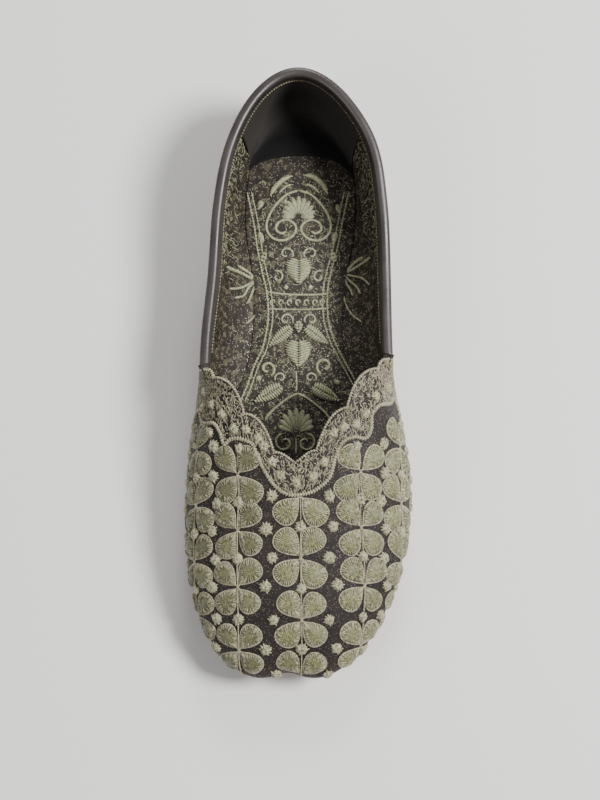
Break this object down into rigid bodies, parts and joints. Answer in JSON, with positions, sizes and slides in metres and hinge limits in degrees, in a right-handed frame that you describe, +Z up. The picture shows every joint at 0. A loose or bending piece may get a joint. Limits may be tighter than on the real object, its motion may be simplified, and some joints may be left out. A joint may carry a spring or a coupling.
{
  "type": "mojari shoe",
  "caption": "Flat slip-on mojari shoe with a V throat, an embroidered vamp with a scalloped edge, rolled collar binding, padded insole and leather sole.",
  "frame": {"origin": "on the floor, under the middle of the shoe's bounding box", "axes": "+Z up; -Y toward the toe, +Y toward the heel; +X toward the outer side of the foot"},
  "size_m": [0.091, 0.2486, 0.0541],
  "materials": {
    "upper": "dark brown with glitter",
    "vamp_cover": "beige thread embroidery on a dark ground",
    "collar_binding": "smooth, rolled",
    "insole": "embroidered, dark ground",
    "outsole": "natural leather",
    "heel_lift": "stained leather"
  },
  "bodies": {
    "root": {"outsole": "outsole", "heel_lift": "heel_lift", "upper": "upper", "vamp_cover": "vamp_cover", "collar_binding": "collar_binding", "insole": "insole"}
  },
  "joints": []
}
